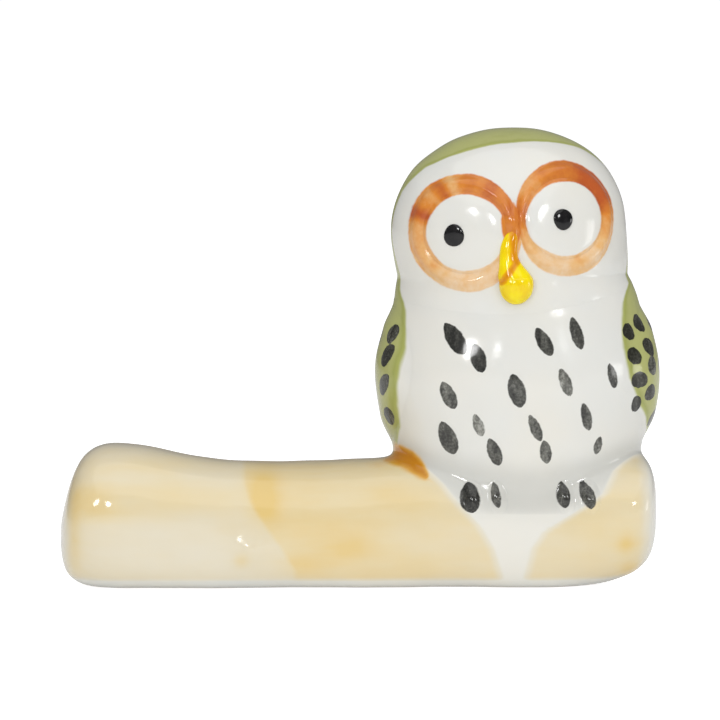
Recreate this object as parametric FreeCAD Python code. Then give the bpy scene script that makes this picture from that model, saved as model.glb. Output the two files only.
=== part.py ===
"""Porcelain owl figurine: an owl sitting on one end of a short log, 56 mm long.

Every separate clay part is its own closed solid.  X runs along the log, Y from the owl's face
to its back, and Z upwards.  The face looks along -Y and the log stands on Z = 0.  All lengths
are in millimetres.  "Inner" is the owl's side over the long bare stretch of the log, and
"outer" is the side at the short end.

The pieces meet face to face.  Where two of them share a place, the one that would be pressed
on last keeps its full shape and the one beneath is cut to seat it.
"""

import FreeCAD
import Part

import math
import os

from FreeCAD import Vector

# ---- the log -------------------------------------------------------------------------------
log_length = 56.05
log_depth = 16.4
log_height_long_end = 13.3
log_height_saddle = 11.5
log_height_owl_end = 12.3
log_long_end_round = 5.6      # length of log over which the long end rounds off
log_owl_end_round = 5.4
log_squareness = 2.6          # 2 is an ellipse, more is a rounder-cornered block
log_foot_trim = 0.7           # clay pressed flat to make the foot

# ---- the owl's body ------------------------------------------------------------------------
owl_from_long_end = 43.1      # the body's axis, along the log
body_width = 25.9
body_depth = 20.6
body_widest_height = 19.5
body_top_height = 29.6
body_base_height = 7.6
body_back_shift = 0.6         # the belly is level with the log, the back hangs over a little

# ---- the head ------------------------------------------------------------------------------
head_width = 22.2
head_depth = 19.0
head_crown = 9.65             # from the widest ring up to the crown
head_chin = 17.0              # the same below it, a long taper that the neck cuts off
head_fullness = 2.15          # 2 is an ellipsoid, more has fuller cheeks and a flatter crown
head_height = 33.3            # of the widest ring above the table
head_shift = -0.9             # along X from the body's axis
head_forward = 0.5
head_cock = 7.5               # degrees, the outer eye is the higher one
head_turn = 4.0               # degrees, the face looks a little towards the outer side

# ---- the face ------------------------------------------------------------------------------
eye_spacing = 9.5
eye_height = 0.3              # above the head's widest ring
rim_half_width = 4.6          # centre line of the rim, seen from the front
rim_half_height = 4.95
rim_band = 1.6
rim_thickness = 1.3
rim_proud = 0.38
disc_bulge = 0.5              # the white of the eye swells this far off the face
disc_seat = 0.9               # and is let into the head this deep
pupil_size = 1.9
pupil_seat = 0.6
pupil_proud = 0.22
pupil_inner_shift = -0.75     # the inner pupil looks a little to its own side
pupil_outer_shift = 0.25
beak_top = -0.3               # height from the widest ring of the head
beak_shift = -0.35            # the beak hangs a little towards the inner side
beak_length = 7.1
beak_width = 3.1
beak_proud = 1.5
bridge_width = 1.9
bridge_height = 5.6
bridge_proud = 0.5
bridge_rise = 0.6

# The neck is cut this far below the lower edge of the eye rims.
neck_margin = 1.15
head_neck_drop = rim_half_height + 0.5 * rim_band - eye_height + neck_margin

# ---- the wings and feet --------------------------------------------------------------------
wing_thickness = 0.6
wing_shoulder_height = 26.6
wing_tip_height = 12.9
wing_front = -6.4             # front edge, along Y from the body's axis
wing_back = 6.2
toe_width = 1.8
toe_length = 3.0
toe_proud = 0.55
toe_height = 8.1              # middle of a toe above the table
toe_pitch = 2.35
foot_pad_width = 4.6
foot_pad_height = 4.2
foot_inner_shift = -3.3       # along X from the body's axis
foot_outer_shift = 5.4

ring_points = 16              # points that carry each closed outline


# ---- outlines and skins --------------------------------------------------------------------
def soften(value, power):
    """Raise to 2/power and keep the sign: the step from an ellipse to a superellipse."""
    return math.copysign(abs(value) ** (2.0 / power), value)


def ring(centre, across, along, power=2.0):
    """Points of the closed outline |p|^n + |q|^n = 1, with half-widths given as two vectors."""
    points = []
    for step in range(ring_points):
        turn = 2.0 * math.pi * step / ring_points
        p = soften(math.cos(turn), power)
        q = soften(math.sin(turn), power)
        points.append(centre + across * p + along * q)
    return points


def closed_curve(points):
    """Smooth closed curve through points, all evenly spaced in its own count."""
    curve = Part.BSplineCurve()
    curve.interpolate(Points=points, PeriodicFlag=True, Parameters=list(range(len(points) + 1)))
    return curve


def skin(first, rings, last):
    """Solid under one smooth surface through a row of outlines, closed to a point at each end.

    Each outline becomes a closed curve.  The control points of those curves are then joined by
    curves that run from end to end, and theirs are the control points of the surface.
    """
    around = [closed_curve(points) for points in rings]
    rows = [curve.getPoles() for curve in around]
    count = len(rows[0])
    rows = [[first] * count] + rows + [[last] * count]
    reach = [0.0]
    for here, there in zip(rows, rows[1:]):
        steps = [a.distanceToPoint(b) for a, b in zip(here, there)]
        reach.append(reach[-1] + sum(steps) / len(steps))
    columns = []
    for index in range(count):
        curve = Part.BSplineCurve()
        curve.interpolate(Points=[row[index] for row in rows], Parameters=reach)
        columns.append(curve)
    surface = Part.BSplineSurface()
    surface.buildFromPolesMultsKnots([curve.getPoles() for curve in columns],
                                     around[0].getMultiplicities(), columns[0].getMultiplicities(),
                                     around[0].getKnots(), columns[0].getKnots(), True, False, 3, 3)
    return solid_in_halves(surface, ring_points, reach[-1])


def solid_in_halves(surface, turn_length, run_length):
    """Close a surface that goes once round, as two faces that share two long edges."""
    halves = []
    for start in (0.0, 0.5 * turn_length):
        half = surface.copy()
        half.segment(start, start + 0.5 * turn_length, 0.0, run_length)
        halves.append(half.toShape())
    shell = Part.makeShell(halves)
    shell.sewShape()
    return Part.makeSolid(shell)


def ellipsoid(centre, half_x, half_y, half_z):
    """Sphere stretched to three half-widths."""
    stretch = FreeCAD.Matrix()
    stretch.scale(half_x, half_y, half_z)
    shape = Part.makeSphere(1.0).transformGeometry(stretch)
    shape.translate(centre)
    return shape


def cut(shape, *others):
    """Take each of the others out of the shape."""
    for other in others:
        shape = shape.cut(other)
    return shape


# ---- the log -------------------------------------------------------------------------------
def make_log():
    """A squarish bar with a dip in its top, round ends and a flat foot."""
    long_end = log_height_long_end
    owl_end = log_height_owl_end
    dip = log_height_saddle
    foot = -log_foot_trim
    # Each ring: place along the log, share of the full depth, its top and its underside.
    # The long end leans back as it rises, and the short end is tucked in under the owl.
    stations = []
    for share, depth, top, under in [(0.01, 0.28, 0.41, 0.24), (0.05, 0.50, 0.50, 0.17),
                                     (0.12, 0.67, 0.60, 0.11), (0.24, 0.81, 0.74, 0.06),
                                     (0.40, 0.91, 0.90, 0.02), (0.68, 0.97, 0.985, -0.03)]:
        stations.append((share * log_long_end_round, depth, top * long_end, under * long_end))
    run = log_length - log_long_end_round - log_owl_end_round
    for share, depth, top in [(0.00, 1.00, long_end), (0.08, 1.00, 0.29 * dip + 0.71 * long_end),
                              (0.16, 0.99, 0.70 * dip + 0.30 * long_end),
                              (0.26, 0.98, 0.93 * dip + 0.07 * long_end), (0.38, 0.97, dip),
                              (0.54, 0.98, 0.55 * dip + 0.45 * owl_end),
                              (0.72, 1.00, owl_end), (0.94, 1.00, owl_end)]:
        stations.append((log_long_end_round + share * run, depth, top, foot))
    for share, depth, top, under in [(0.85, 1.00, 1.00, 0.01), (0.44, 0.96, 1.00, 0.08),
                                     (0.20, 0.87, 0.97, 0.17), (0.08, 0.71, 0.90, 0.26),
                                     (0.02, 0.45, 0.78, 0.38)]:
        place = log_length - share * log_owl_end_round
        stations.append((place, depth, top * owl_end, under * owl_end))
    rings = []
    for place, depth, top, under in stations:
        across = Vector(0, 0.5 * log_depth * depth, 0)
        along = Vector(0, 0, 0.5 * (top - under))
        centre = Vector(place, 0, 0.5 * (top + under))
        rings.append(ring(centre, across, along, log_squareness))
    bar = skin(Vector(0, 0, 0.32 * long_end), rings, Vector(log_length, 0, 0.57 * owl_end))
    below = Part.makeBox(2 * log_length, 4 * log_depth, log_height_saddle)
    below.translate(Vector(-0.5 * log_length, -2 * log_depth, -log_height_saddle))
    return bar.cut(below)


# ---- the body ------------------------------------------------------------------------------
def make_body_skin(grow):
    """The body's whole egg, grown outwards all round by a given thickness."""
    # Share of the way from the base to the widest ring, or from there to the top, and width.
    below = [(-0.04, 0.35), (-0.03, 0.66), (0.04, 0.77), (0.20, 0.835), (0.42, 0.897),
             (0.66, 0.955), (0.90, 0.995)]
    above = [(0.18, 0.99), (0.46, 0.935), (0.70, 0.865), (0.86, 0.78), (0.965, 0.55)]
    heights = []
    for share, width in below:
        heights.append((body_base_height + share * (body_widest_height - body_base_height), width))
    for share, width in above:
        heights.append((body_widest_height + share * (body_top_height - body_widest_height), width))
    rings = []
    for height, width in heights:
        centre = Vector(owl_from_long_end, body_back_shift, height)
        across = Vector(0, 0.5 * body_depth * width + grow, 0)
        along = Vector(-0.5 * body_width * width - grow, 0, 0)
        rings.append(ring(centre, across, along, 2.1))
    foot = Vector(owl_from_long_end, body_back_shift, heights[0][0])
    top = Vector(owl_from_long_end, body_back_shift, body_top_height + grow)
    return skin(foot, rings, top)


def make_wing(side, coat):
    """A feathered pad: the part of the coat inside a wing's outline, seen from the side."""
    tall = wing_shoulder_height - wing_tip_height
    deep = wing_back - wing_front
    # Shares of the wing's depth (front to back) and of its height above the tip.
    outline = [(0.02, 0.62), (0.10, 0.86), (0.42, 1.00), (0.82, 0.88), (1.00, 0.58),
               (0.94, 0.28), (0.66, 0.02), (0.42, 0.00), (0.16, 0.22)]
    points = []
    for share_deep, share_tall in outline:
        y = body_back_shift + wing_front + share_deep * deep
        points.append(Vector(owl_from_long_end, y, wing_tip_height + share_tall * tall))
    face = Part.Face(Part.Wire([closed_curve(points).toShape()]))
    return face.extrude(Vector(side * body_width, 0, 0)).common(coat)


def make_foot(shift, log):
    """Two toes over the log's front edge, and the low pad that joins them to the belly."""
    front = -0.5 * log_depth + toe_width * 0.5 - toe_proud
    x = owl_from_long_end + shift
    pad_centre = Vector(x, front + 0.3, toe_height + 0.5 * foot_pad_height)
    foot = ellipsoid(pad_centre, 0.5 * foot_pad_width, 0.5 * toe_width, 0.5 * foot_pad_height)
    for side in (-0.5, 0.5):
        toe_centre = Vector(x + side * toe_pitch, front, toe_height)
        toe = ellipsoid(toe_centre, 0.5 * toe_width, 0.5 * toe_width, 0.5 * toe_length)
        foot = foot.fuse(toe)
    return foot


# ---- the head, in its own frame, upright and centred on its widest ring ----------------------
def head_reach(z):
    """Half-height of the head on the side of its widest ring that z lies on."""
    return head_crown if z > 0 else head_chin


def head_level(z, reach):
    """Share of the full width that the head has at height z."""
    return max(0.0, 1.0 - (abs(z) / reach) ** head_fullness) ** (1.0 / head_fullness)


def on_face(x, z, lift):
    """Point on the head's front at (x, z), moved outwards along the surface's own normal."""
    a = 0.5 * head_width
    b = 0.5 * head_depth
    c = head_reach(z)
    level = head_level(z, c)
    y = -b * math.sqrt(max(0.02, level ** 2 - (x / a) ** 2))
    # The way the surface narrows with height gives the upward part of its normal.
    narrowing = (abs(z) / c) ** (head_fullness - 1.0) * level ** (2.0 - head_fullness) / c
    normal = Vector(x / a ** 2, y / b ** 2, math.copysign(narrowing, z))
    normal.normalize()
    return Vector(x, y, z) + normal * lift, normal


def make_head_skin():
    """The head: an egg with a short crown and a long chin, cut off flat at the neck."""
    # Height of each ring and its share of the full width.
    neck = head_level(head_neck_drop, head_chin)
    levels = [(-head_neck_drop - 0.35, 0.47 * neck), (-head_neck_drop - 0.3, 0.85 * neck)]
    for share in (1.0, 0.5):
        levels.append((-share * head_neck_drop, head_level(share * head_neck_drop, head_chin)))
    for share in (0.0, 0.26, 0.50, 0.70, 0.84, 0.93, 0.98, 0.997):
        levels.append((share * head_crown, head_level(share * head_crown, head_crown)))
    rings = []
    for height, width in levels:
        across = Vector(0, 0.5 * head_depth * width, 0)
        along = Vector(-0.5 * head_width * width, 0, 0)
        rings.append(ring(Vector(0, 0, height), across, along))
    return skin(Vector(0, 0, -head_neck_drop - 0.35), rings, Vector(0, 0, head_crown))


def make_rim(side):
    """A closed round band that follows the face round one eye."""
    sections = []
    for step in range(ring_points):
        turn = 2.0 * math.pi * step / ring_points
        x = side * 0.5 * eye_spacing + rim_half_width * math.cos(turn)
        z = eye_height + rim_half_height * math.sin(turn)
        centre, normal = on_face(x, z, rim_proud - 0.5 * rim_thickness)
        run = Vector(-rim_half_width * math.sin(turn), 0, rim_half_height * math.cos(turn))
        outward = run.cross(normal)
        outward.normalize()
        sections.append((centre, outward * (0.5 * rim_band), normal * (0.5 * rim_thickness)))
    return tube(sections)


def tube(sections):
    """Ring-shaped solid: a smooth surface closed both round its section and along its path."""
    across_points = 8
    rows = []
    for centre, wide, high in sections:
        row = []
        for step in range(across_points):
            turn = 2.0 * math.pi * step / across_points
            row.append(centre + wide * math.cos(turn) * 1.11 + high * math.sin(turn) * 1.11)
        rows.append(row)
    surface = Part.BSplineSurface()
    knots_u = list(range(len(rows) + 1))
    knots_v = list(range(across_points + 1))
    surface.buildFromPolesMultsKnots(rows, [1] * len(knots_u), [1] * len(knots_v),
                                     knots_u, knots_v, True, True, 3, 3)
    return Part.makeSolid(Part.makeShell([surface.toShape()]))


def patch(middle_x, middle_z, half_width, half_height, back, profile, front):
    """Low button that follows the face: rings of it, each a share of the full outline in size
    and lifted off the face by its own amount, from the buried back to the front."""
    rings = []
    for share, lift in profile:
        points = []
        for step in range(ring_points):
            turn = 2.0 * math.pi * step / ring_points
            x = middle_x + share * half_width * math.cos(turn)
            z = middle_z + share * half_height * math.sin(turn)
            points.append(on_face(x, z, lift)[0])
        rings.append(points)
    first = on_face(middle_x, middle_z, back)[0]
    last = on_face(middle_x, middle_z, front)[0]
    return skin(first, rings, last)


def make_disc(side):
    """The white of one eye: a shallow dome let into the head, filling its rim."""
    profile = [(0.60, -disc_seat), (0.95, -0.85 * disc_seat), (1.00, -0.3 * disc_seat),
               (0.95, 0.10 * disc_bulge), (0.80, 0.42 * disc_bulge), (0.52, 0.80 * disc_bulge),
               (0.25, 0.95 * disc_bulge)]
    middle = side * 0.5 * eye_spacing
    return patch(middle, eye_height, rim_half_width, rim_half_height,
                 -disc_seat, profile, disc_bulge)


def make_pupil(side, shift):
    """A small black bead near the middle of the eye."""
    top = disc_bulge + pupil_proud
    profile = [(0.60, disc_bulge - pupil_seat), (0.95, disc_bulge - 0.8 * pupil_seat),
               (1.00, disc_bulge - 0.1 * pupil_seat), (0.80, top - 0.28 * pupil_proud),
               (0.45, top - 0.06 * pupil_proud)]
    middle = side * 0.5 * eye_spacing + shift
    half = 0.5 * pupil_size
    return patch(middle, eye_height, half, half, disc_bulge - pupil_seat, profile, top)


def make_beak():
    """A drop-shaped beak, narrow between the eyes and full at its tip."""
    # Share of the length from the top down, share of the full width, and share of the full lift.
    stations = [(0.05, 0.36, 0.30), (0.25, 0.52, 0.45), (0.50, 0.78, 0.74),
                (0.72, 1.00, 1.00), (0.90, 0.78, 0.78), (0.975, 0.42, 0.42)]
    rings = []
    for down, width, lift in stations:
        z = beak_top - down * beak_length
        surface, normal = on_face(0, z, 0)
        centre = surface + Vector(beak_shift * down, 0.9, 0)
        along = Vector(0, 0.9 + beak_proud * lift, 0)
        rings.append(ring(centre, Vector(0.5 * beak_width * width, 0, 0), along, 2.2))
    first = on_face(0, beak_top, 0)[0] + Vector(0, 0.6, 0)
    last = on_face(0, beak_top - beak_length, 0)[0] + Vector(beak_shift, 0.6, 0)
    return skin(first, rings, last)


def make_bridge():
    """The low ridge where the two rims run together above the beak."""
    profile = [(0.60, -rim_thickness), (0.95, -0.8 * rim_thickness), (1.00, -0.3 * rim_thickness),
               (0.93, 0.45 * bridge_proud), (0.62, 0.88 * bridge_proud)]
    return patch(0, eye_height + bridge_rise, 0.5 * bridge_width, 0.5 * bridge_height,
                 -rim_thickness, profile, bridge_proud)


def place_head(shape):
    """Turn and cock a piece of the head, and set it on the neck."""
    turned = FreeCAD.Rotation(Vector(0, 0, 1), head_turn)
    cocked = FreeCAD.Rotation(Vector(0, 1, 0), -head_cock)
    spot = Vector(owl_from_long_end + head_shift, body_back_shift - head_forward, head_height)
    moved = shape.copy()
    moved.Placement = FreeCAD.Placement(spot, cocked.multiply(turned)).multiply(moved.Placement)
    return moved


# ---- the assembly --------------------------------------------------------------------------
def make_nodes():
    """Every piece, cut to meet its neighbours face to face, by name."""
    log = make_log()
    beak = place_head(make_beak())
    bridge = cut(place_head(make_bridge()), beak)
    rim_inner = cut(place_head(make_rim(-1)), beak, bridge)
    rim_outer = cut(place_head(make_rim(1)), beak, bridge, rim_inner)
    trims = [beak, bridge, rim_inner, rim_outer]
    pupil_inner = place_head(make_pupil(-1, pupil_inner_shift))
    pupil_outer = place_head(make_pupil(1, pupil_outer_shift))
    disc_inner = cut(place_head(make_disc(-1)), pupil_inner, *trims)
    disc_outer = cut(place_head(make_disc(1)), pupil_outer, *trims)
    head = cut(place_head(make_head_skin()), disc_inner, disc_outer, pupil_inner, pupil_outer, *trims)
    whole_head = place_head(make_head_skin())
    body = cut(make_body_skin(0.0), whole_head, log, beak, rim_inner, rim_outer)
    coat = make_body_skin(wing_thickness)
    wing_inner = cut(make_wing(-1, coat), make_body_skin(0.0), whole_head, log)
    wing_outer = cut(make_wing(1, coat), make_body_skin(0.0), whole_head, log)
    foot_inner = cut(make_foot(foot_inner_shift, log), log, body)
    foot_outer = cut(make_foot(foot_outer_shift, log), log, body)
    return {
        "log": log,
        "owl_body": body,
        "owl_head": head,
        "wing_inner": wing_inner,
        "wing_outer": wing_outer,
        "eye_rim_inner": rim_inner,
        "eye_rim_outer": rim_outer,
        "eye_disc_inner": disc_inner,
        "eye_disc_outer": disc_outer,
        "pupil_inner": pupil_inner,
        "pupil_outer": pupil_outer,
        "brow_bridge": bridge,
        "beak": beak,
        "foot_inner": foot_inner,
        "foot_outer": foot_outer,
    }


nodes = make_nodes()
box = Part.makeCompound(list(nodes.values())).optimalBoundingBox(False, False)
middle = Vector(0.5 * (box.XMin + box.XMax), 0.5 * (box.YMin + box.YMax), 0)
os.makedirs("parts", exist_ok=True)
for name, shape in nodes.items():
    shape.translate(middle * -1.0)
    shape.exportStep("parts/" + name + ".step")
    print(name, "solids", len(shape.Solids), "valid", shape.isValid(), "mm3", round(shape.Volume, 2))
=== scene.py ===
# %% [markdown]
# # A porcelain owl on a log
# This lesson dresses a small glazed figurine: a round owl that sits on one end of a short log.
# The clay shapes come first, each as a surface worked out on a grid of two numbers.  The paint
# comes next, as fields measured on those surfaces, and last the glaze that covers everything.
# Nothing on the object moves, so every piece rides on the one body.

# %% Load the fixed frame
import math

import bpy
import numpy as np
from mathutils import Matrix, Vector


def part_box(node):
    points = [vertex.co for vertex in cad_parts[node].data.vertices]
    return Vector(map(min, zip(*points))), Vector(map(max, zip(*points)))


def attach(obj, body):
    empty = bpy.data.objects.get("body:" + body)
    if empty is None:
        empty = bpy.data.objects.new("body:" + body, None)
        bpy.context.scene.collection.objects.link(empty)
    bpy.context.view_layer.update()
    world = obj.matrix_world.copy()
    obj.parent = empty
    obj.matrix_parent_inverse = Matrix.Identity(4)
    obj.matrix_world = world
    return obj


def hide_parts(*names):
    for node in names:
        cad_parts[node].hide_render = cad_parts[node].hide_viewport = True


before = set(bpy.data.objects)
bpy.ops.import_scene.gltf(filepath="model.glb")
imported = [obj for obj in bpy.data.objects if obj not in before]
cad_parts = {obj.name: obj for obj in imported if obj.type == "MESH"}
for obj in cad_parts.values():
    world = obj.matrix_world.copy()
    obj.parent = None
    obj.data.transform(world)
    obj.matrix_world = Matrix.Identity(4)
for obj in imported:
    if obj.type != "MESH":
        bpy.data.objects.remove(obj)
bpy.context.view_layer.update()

MM = 0.001

# %% [markdown]
# ## Places taken from the frame
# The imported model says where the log, the body and the head are.  We read their boxes once and
# work in millimetres from there, so that the numbers look like the ones a potter would measure.

# %% Read the boxes of the log and the body


def box_mm(node):
    """Lowest and highest corner of a CAD node, in millimetres."""
    low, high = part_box(node)
    return np.array(low) / MM, np.array(high) / MM


log_low, log_high = box_mm("log")
body_low, body_high = box_mm("owl_body")
LOG_LENGTH = log_high[0] - log_low[0]
LOG_HALF_DEPTH = 0.5 * (log_high[1] - log_low[1])
LOG_Y = 0.5 * (log_low[1] + log_high[1])
BODY_X = 0.5 * (body_low[0] + body_high[0])
BODY_Y = 0.5 * (body_low[1] + body_high[1])
BODY_HALF = 0.5 * (body_high - body_low)
print("log length", round(LOG_LENGTH, 2), "owl stands at x", round(BODY_X, 2))

# %% [markdown]
# ## Small tools for lines
# A bent strip of wood through a few nails gives the smoothest line between them.  That is what a
# natural cubic does, and every outline here is one.  The second tool fades softly from 0 to 1,
# and the third turns a circle into a squarer or rounder oval.

# %% Smooth lines and fades


def strip_through(at, nails, values):
    """Natural cubic through the nails: each piece is a cubic whose bend matches the next one's."""
    nails, values = np.asarray(nails, float), np.asarray(values, float)
    gap, rise = np.diff(nails), np.diff(values) / np.diff(nails)
    bend = np.zeros(len(nails))
    middle = np.diag(2 * (gap[:-1] + gap[1:])) + np.diag(gap[1:-1], 1) + np.diag(gap[1:-1], -1)
    bend[1:-1] = np.linalg.solve(middle, 6 * np.diff(rise))
    at = np.clip(at, nails[0], nails[-1])
    k = np.clip(np.searchsorted(nails, at) - 1, 0, len(gap) - 1)
    left, right = at - nails[k], nails[k + 1] - at
    cubic = (bend[k] * right**3 + bend[k + 1] * left**3) / (6 * gap[k])
    line = values[k] * right / gap[k] + values[k + 1] * left / gap[k]
    return cubic + line - gap[k] / 6 * (bend[k] * right + bend[k + 1] * left)


def fade(x, start, end):
    """0 up to start, 1 from end, and the soft step 3t^2 - 2t^3 between them."""
    t = np.clip((x - start) / (end - start), 0, 1)
    return t * t * (3 - 2 * t)


def soften(value, power):
    """Raise to 2/power and keep the sign: turns a circle's sine into a fuller corner's."""
    return np.sign(value) * np.abs(value) ** (2 / power)


def bend_table(table, weights, samples=4000):
    """Every column of a table as one smooth line, walked at an even pace along the outline."""
    step = np.sqrt(((np.diff(table, axis=0) * weights) ** 2).sum(1))
    walk = np.concatenate([[0], np.cumsum(step)])
    even = np.linspace(0, walk[-1], samples)
    return np.stack([strip_through(even, walk, column) for column in table.T])


# %% [markdown]
# ## The log
# The real log is a bar of clay that was pressed flat underneath and dipped along its top.  Its
# section is a square with very round corners.  We lay such sections along the bar: each has a
# depth, a top and an underside, and the strip tool draws all three from one end to the other.

# %% The outline of the log
LOG_CORNER = 2.6  # power of the section: 2 is an ellipse, more is squarer
LOG_PLACES = np.array([  # place along the log, share of its depth, top, underside
    (0.00, 0.01, 4.45, 4.35), (0.08, 0.30, 5.90, 3.10), (0.30, 0.52, 7.15, 2.05),
    (0.67, 0.69, 8.70, 1.20), (1.34, 0.83, 10.70, 0.55), (2.24, 0.92, 12.15, 0.05),
    (3.80, 0.98, 13.10, -0.45), (5.60, 1.00, 13.30, -0.70), (9.20, 1.00, 12.78, -0.70),
    (12.8, 0.99, 12.04, -0.70), (17.3, 0.98, 11.62, -0.70), (22.7, 0.97, 11.50, -0.70),
    (29.9, 0.98, 11.86, -0.70), (38.0, 1.00, 12.30, -0.70), (47.9, 1.00, 12.30, -0.60),
    (51.4, 1.00, 12.30, 0.15), (53.7, 0.96, 12.25, 1.00), (55.0, 0.87, 11.85, 2.10),
    (55.6, 0.71, 11.00, 3.30), (55.9, 0.45, 9.60, 4.70), (56.0, 0.22, 8.10, 5.90),
    (56.05, 0.01, 7.05, 6.95),
])
LOG_LINE = bend_table(LOG_PLACES, (1, LOG_HALF_DEPTH, 0.5, 0.5))
LOG_LINE[0] = np.maximum.accumulate(LOG_LINE[0]) * LOG_LENGTH / LOG_PLACES[-1, 0]
print("the log's outline is drawn from", len(LOG_PLACES), "sections")

# %% [markdown]
# Two shapes can be welded softly if each says how far a point lies from its skin.  A rounded
# minimum of those distances is then one skin with a fillet where they meet, just as glaze pools
# in a crease.  So each large shape gets such a distance.

# %% Distance from the log's skin


def log_distance(p):
    """Across a section, |y/half|^n + |z/half|^n to the 1/n is 1 on the skin: scale by radius."""
    place = p[:, 0] - log_low[0]
    depth, top, under = (np.interp(place, LOG_LINE[0], line) for line in LOG_LINE[1:])
    y, z = p[:, 1] - LOG_Y, p[:, 2] - 0.5 * (top + under)
    half_y, half_z = np.maximum(LOG_HALF_DEPTH * depth, 0.05), np.maximum(0.5 * (top - under), 0.05)
    powers = np.abs(y / half_y) ** LOG_CORNER + np.abs(z / half_z) ** LOG_CORNER
    level = powers ** (1 / LOG_CORNER)
    return np.hypot(y, z) * (1 - 1 / np.maximum(level, 1e-6))


# %% [markdown]
# ## The body
# The body is an egg with a flattish base that straddles the log.  Its width at every height
# comes from one line, and each level is an ellipse made a little fuller.

# %% The egg of the body
EGG_CORNER = 2.1
EGG = np.array([  # height, share of the full width
    (7.10, 0.01), (7.12, 0.35), (7.25, 0.66), (8.08, 0.77), (9.98, 0.835), (12.6, 0.897),
    (15.45, 0.955), (18.3, 0.995), (21.3, 0.99), (24.15, 0.935), (26.57, 0.865),
    (28.2, 0.78), (29.25, 0.55), (29.6, 0.01),
])
EGG_LINE = bend_table(EGG, (1, 13))
EGG_LINE[0] = np.maximum.accumulate(EGG_LINE[0])
EGG_LINE[1] /= EGG_LINE[1].max()


def egg_radius(turn, height):
    """Distance from the body's axis to its skin, turn measured from the face towards +X."""
    share = np.interp(height, EGG_LINE[0], EGG_LINE[1])
    across = np.abs(np.sin(turn) / BODY_HALF[0]) ** EGG_CORNER
    along = np.abs(np.cos(turn) / BODY_HALF[1]) ** EGG_CORNER
    return share * (across + along) ** (-1 / EGG_CORNER)


def around_owl(turn, height, radius):
    """Point at a turn from the face, a height and a distance from the owl's upright axis."""
    turn, height, radius = np.broadcast_arrays(turn, height, radius)
    x = BODY_X + radius * np.sin(turn)
    y = BODY_Y - radius * np.cos(turn)
    return np.stack([x, y, height], -1)


def body_distance(p):
    """How much further from the axis a point is than the skin, or above or below the egg."""
    x, y = p[:, 0] - BODY_X, p[:, 1] - BODY_Y
    sideways = np.hypot(x, y) - egg_radius(np.arctan2(x, -y), p[:, 2])
    return np.maximum(sideways, np.maximum(EGG[0, 0] - p[:, 2], p[:, 2] - EGG[-1, 0]))


# %% [markdown]
# ## The head
# The head is a fuller ellipsoid with a long chin that disappears in the body.  It is turned a
# little and cocked to one side, so we describe it upright and carry points between its own room
# and the figurine's.

# %% The head and how it is carried
HEAD_HALF = np.array([11.1, 9.5])
CROWN, CHIN = 9.65, 17.0  # from the widest ring up to the crown and down to the hidden chin
FULLNESS = 2.15
COCK, TURN = math.radians(-7.5), math.radians(4.0)
HEAD_SPOT = np.array([BODY_X - 0.9, BODY_Y - 0.5, 33.3])
tip = np.array([[math.cos(COCK), 0, math.sin(COCK)], [0, 1, 0], [-math.sin(COCK), 0, math.cos(COCK)]])
spin = np.array([[math.cos(TURN), -math.sin(TURN), 0], [math.sin(TURN), math.cos(TURN), 0], [0, 0, 1]])
HEAD_TILT = tip @ spin


def to_head(p):
    """Room to head: upright, with the widest ring at height 0 and the face along -Y."""
    return (p - HEAD_SPOT) @ HEAD_TILT


def from_head(p):
    """Head to room."""
    return p @ HEAD_TILT.T + HEAD_SPOT


def head_distance(p):
    """Along the ray from the head's middle, how far the point lies outside the skin."""
    q = to_head(p)
    reach = np.where(q[:, 2] > 0, CROWN, CHIN)
    flat = np.hypot(q[:, 0] / HEAD_HALF[0], q[:, 1] / HEAD_HALF[1])
    level = (flat**FULLNESS + np.abs(q[:, 2] / reach) ** FULLNESS) ** (1 / FULLNESS)
    return np.linalg.norm(q, axis=1) * (1 - 1 / np.maximum(level, 1e-6))


def on_face(x, z):
    """Point of the head's front at (x, z) of its own room, from flat^n + |z/reach|^n = 1."""
    reach = np.where(z > 0, CROWN, CHIN)
    share = np.maximum(1 - np.abs(z / reach) ** FULLNESS, 0) ** (2 / FULLNESS)
    depth = HEAD_HALF[1] * np.sqrt(np.maximum(share - (x / HEAD_HALF[0]) ** 2, 0.01))
    return from_head(np.stack([x, -depth, z], -1))


print("head cocked by", round(math.degrees(COCK), 1), "degrees about the line of sight")

# %% [markdown]
# ## One skin of glaze
# Glaze rounds every inner corner.  The rounded minimum of two distances has exactly that form,
# and walking a point down its slope lands it on the common skin.  A little waviness is left in
# the distance, because a hand-pressed shape is never quite true, and so is the small knot that
# was pinched on the front of the log.

# %% The common skin
NECK_FILLET, SEAT_FILLET = 4.4, 2.0
KNOT, KNOT_HALF = (-10.5, 3.9), (1.35, 1.25)  # x and height of the knot, and its half-sizes
KNOT_PROUD, WAVE_PROUD = 0.45, 0.05
LEAST_STEEP = 0.05  # keeps Newton's step short where a distance hardly changes


def soft_min(a, b, round_by):
    """The smaller of a and b, less r/6 times nearness cubed; nearness is (r - |a - b|) / r."""
    near = np.maximum(round_by - np.abs(a - b), 0) / round_by
    return np.minimum(a, b) - near**3 * round_by / 6


def hand_waves(p):
    """Slow swells from a few crossed sines, calm at the log's two ends, plus the knot's dome."""
    x, y, z = p.T
    swell = np.sin(0.41 * x + 0.5 * z + 1.0) * np.sin(0.47 * z - 0.3 * y + 0.4)
    swell = swell + 0.6 * np.sin(0.9 * x - 0.35 * y) * np.sin(0.8 * z + 0.5 * x + 2.0)
    calm = fade(x - log_low[0], 1.5, 6) * fade(log_high[0] - x, 0.8, 3)
    away = ((x - KNOT[0]) / KNOT_HALF[0]) ** 2 + ((z - KNOT[1]) / KNOT_HALF[1]) ** 2
    knot = KNOT_PROUD * np.exp(-away) * (y < LOG_Y)
    return WAVE_PROUD * swell * calm + knot


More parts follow.
